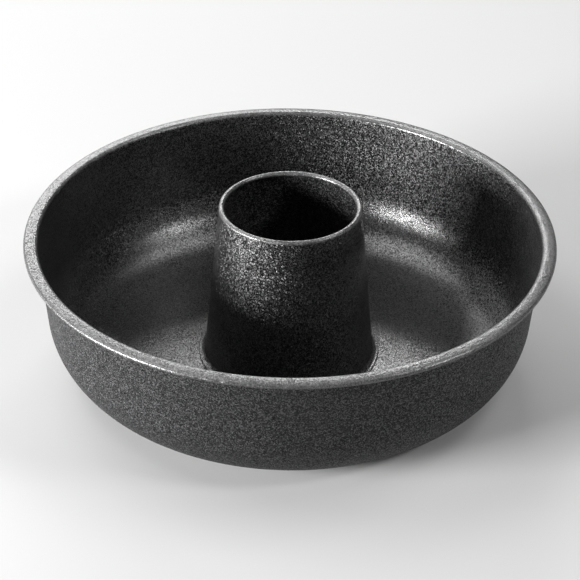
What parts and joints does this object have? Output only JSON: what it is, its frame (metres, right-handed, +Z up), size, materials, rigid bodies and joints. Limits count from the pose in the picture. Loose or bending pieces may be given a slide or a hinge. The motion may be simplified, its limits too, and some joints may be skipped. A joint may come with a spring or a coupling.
{
  "type": "ring cake pan",
  "caption": "Round ring cake pan of dark coated sheet steel with a deep rounded body, a flat wired rim and a fixed tapered centre tube.",
  "frame": {"origin": "centre of the pan's underside, on the plane that it stands on", "axes": "+Z up the middle of the centre tube; the pan is round, so +X and +Y point anywhere on the table"},
  "size_m": [0.272, 0.272, 0.0888],
  "materials": {
    "nonstick_coating": "satin non-stick coating with a fine sparkle and a slight grain",
    "steel_wire": "plain drawn wire"
  },
  "bodies": {
    "root": {"pan_body": "nonstick_coating", "centre_tube": "nonstick_coating", "rim_wire": "steel_wire"}
  },
  "joints": []
}
